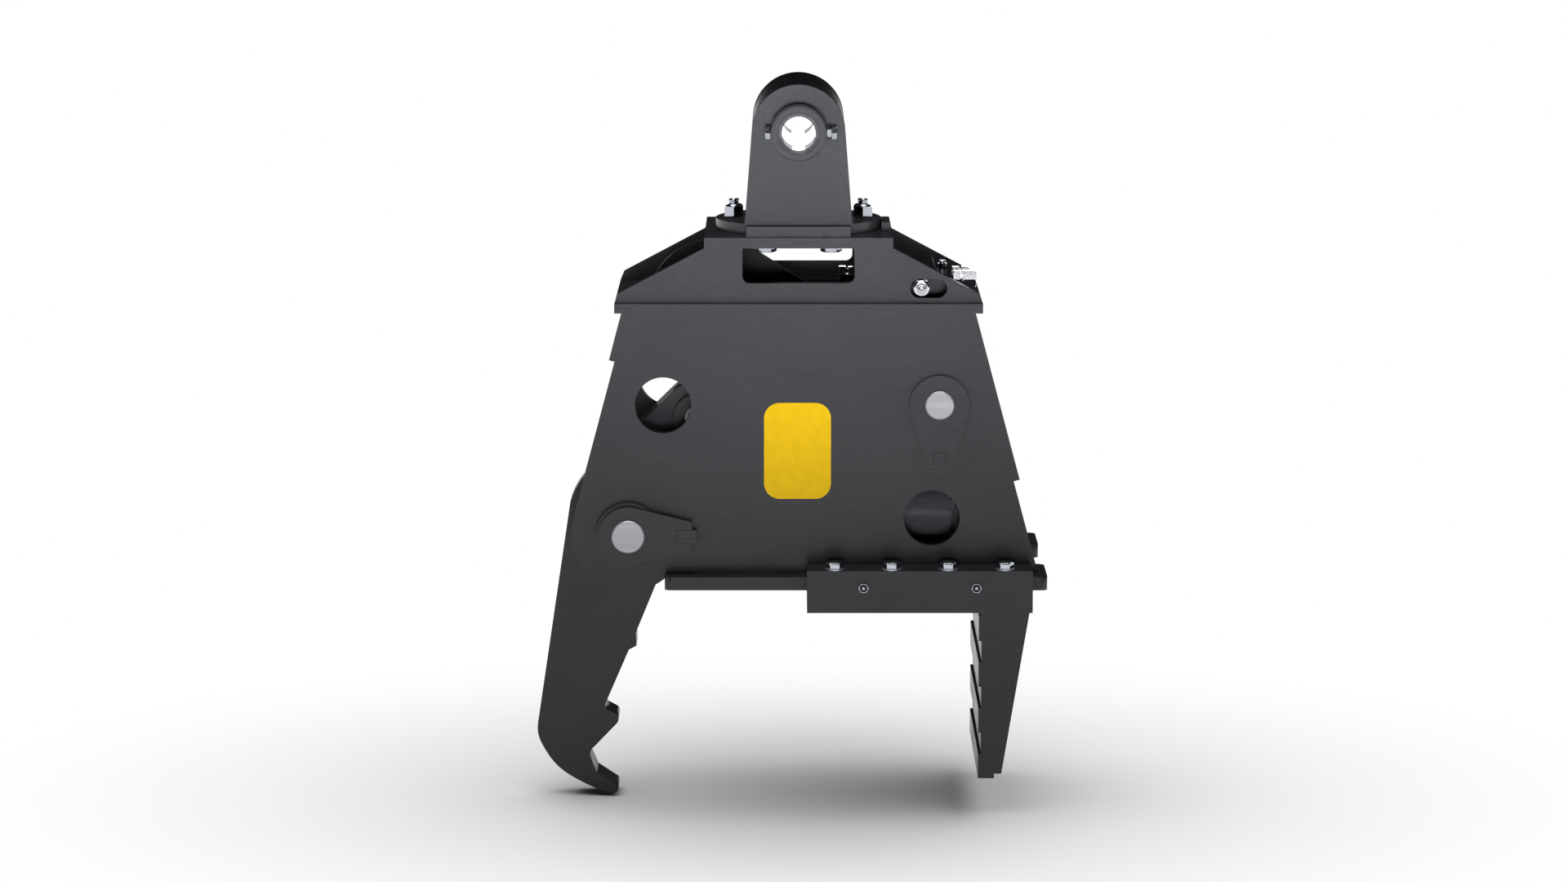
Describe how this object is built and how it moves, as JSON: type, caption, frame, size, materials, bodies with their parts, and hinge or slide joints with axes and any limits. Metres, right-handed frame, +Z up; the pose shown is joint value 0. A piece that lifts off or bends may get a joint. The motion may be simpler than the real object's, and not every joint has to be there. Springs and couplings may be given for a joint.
{
  "type": "railway tie grapple",
  "caption": "Hung hydraulic tie grapple: a sloped plate body on a pinned hanger, a hooked claw moved by a cylinder, and a ridged jaw on a sliding carriage.",
  "frame": {"origin": "centre of the hanger bore, midway between the two hanger ears", "axes": "+X to the right along the jaw opening, from the claw to the ridged jaw; +Y along the hanger bore, away from the front side plate; +Z up"},
  "size_m": [0.9871, 0.592, 1.4024],
  "materials": {
    "charcoal_paint": "semi-gloss charcoal enamel on steel plate",
    "bright_zinc": "bright zinc plated steel",
    "pin_steel": "turned and brushed pin steel",
    "hard_chrome": "ground hard chrome rod",
    "polished_sleeve": "honed bore",
    "bush_bronze": "bearing bronze",
    "plated_block": "milled and plated steel block"
  },
  "bodies": {
    "frame": {"base_bolts": "bright_zinc", "base_nuts": "bright_zinc", "base_pin": "pin_steel", "base_pin_flag": "charcoal_paint", "base_pin_spacers": "charcoal_paint", "centre_gusset": "charcoal_paint", "collar_screws": "bright_zinc", "deck_plate": "charcoal_paint", "flag_keepers": "charcoal_paint", "front_adapter": "bright_zinc", "front_bracket_plate": "charcoal_paint", "front_collar": "charcoal_paint", "front_hanger_ear": "charcoal_paint", "front_rail": "charcoal_paint", "front_side_plate": "charcoal_paint", "hanger_barrel": "charcoal_paint", "hanger_base": "charcoal_paint", "hanger_sleeve": "polished_sleeve", "jaw_bosses": "charcoal_paint", "jaw_pin": "pin_steel", "jaw_pin_flag": "charcoal_paint", "left_adapter": "bright_zinc", "left_end_plate": "charcoal_paint", "manifold_block": "plated_block", "manifold_plug": "bright_zinc", "rear_bracket_plate": "charcoal_paint", "rear_collar": "charcoal_paint", "rear_hanger_ear": "charcoal_paint", "rear_rail": "charcoal_paint", "rear_side_plate": "charcoal_paint", "right_end_plate": "charcoal_paint", "right_front_adapter": "bright_zinc", "right_rear_adapter": "bright_zinc", "slide_anchor_bar": "charcoal_paint", "slide_rod": "hard_chrome", "stop_bar": "charcoal_paint", "top_plate": "charcoal_paint"},
    "claw": {"claw_blade": "charcoal_paint", "claw_hub_rings": "charcoal_paint", "claw_bushes": "bush_bronze"},
    "claw_cylinder": {"cylinder_barrel": "charcoal_paint", "cylinder_gland": "charcoal_paint"},
    "claw_rod": {"cylinder_rod": "hard_chrome", "rod_clevis": "charcoal_paint", "rod_pin": "pin_steel"},
    "carriage": {"carriage_plate": "charcoal_paint", "front_guide_bar": "charcoal_paint", "front_guide_keeper": "charcoal_paint", "front_jaw_web": "charcoal_paint", "grease_nipples": "bright_zinc", "guide_bolts": "bright_zinc", "guide_washers": "bright_zinc", "jaw_pad": "charcoal_paint", "middle_jaw_web": "charcoal_paint", "rear_guide_bar": "charcoal_paint", "rear_guide_keeper": "charcoal_paint", "rear_jaw_web": "charcoal_paint", "slide_barrel": "charcoal_paint", "slide_lugs": "charcoal_paint", "slide_pin": "pin_steel"}
  },
  "joints": [
    {"name": "claw_hinge", "type": "hinge", "parent": "frame", "child": "claw", "pos_m": [-0.32634, 0, -0.772], "axis": [0, -1, 0], "range_deg": [0, 42]},
    {"name": "cylinder_hinge", "type": "hinge", "parent": "frame", "child": "claw_cylinder", "pos_m": [0.26943, 0, -0.519], "axis": [0, -1, 0], "range_deg": [-6, 1]},
    {"name": "rod_slide", "type": "slide", "parent": "claw_cylinder", "child": "claw_rod", "axis": [-0.996, 0, -0.0894], "range_m": [0, 0.186]},
    {"name": "jaw_slide", "type": "slide", "parent": "frame", "child": "carriage", "axis": [1, 0, 0], "range_m": [-0.15, 0]}
  ],
  "couplings": [
    {"joint": "cylinder_hinge", "follows": "claw_hinge", "ratio": -0.13},
    {"joint": "rod_slide", "follows": "claw_hinge", "m_per_rad": 0.233}
  ]
}
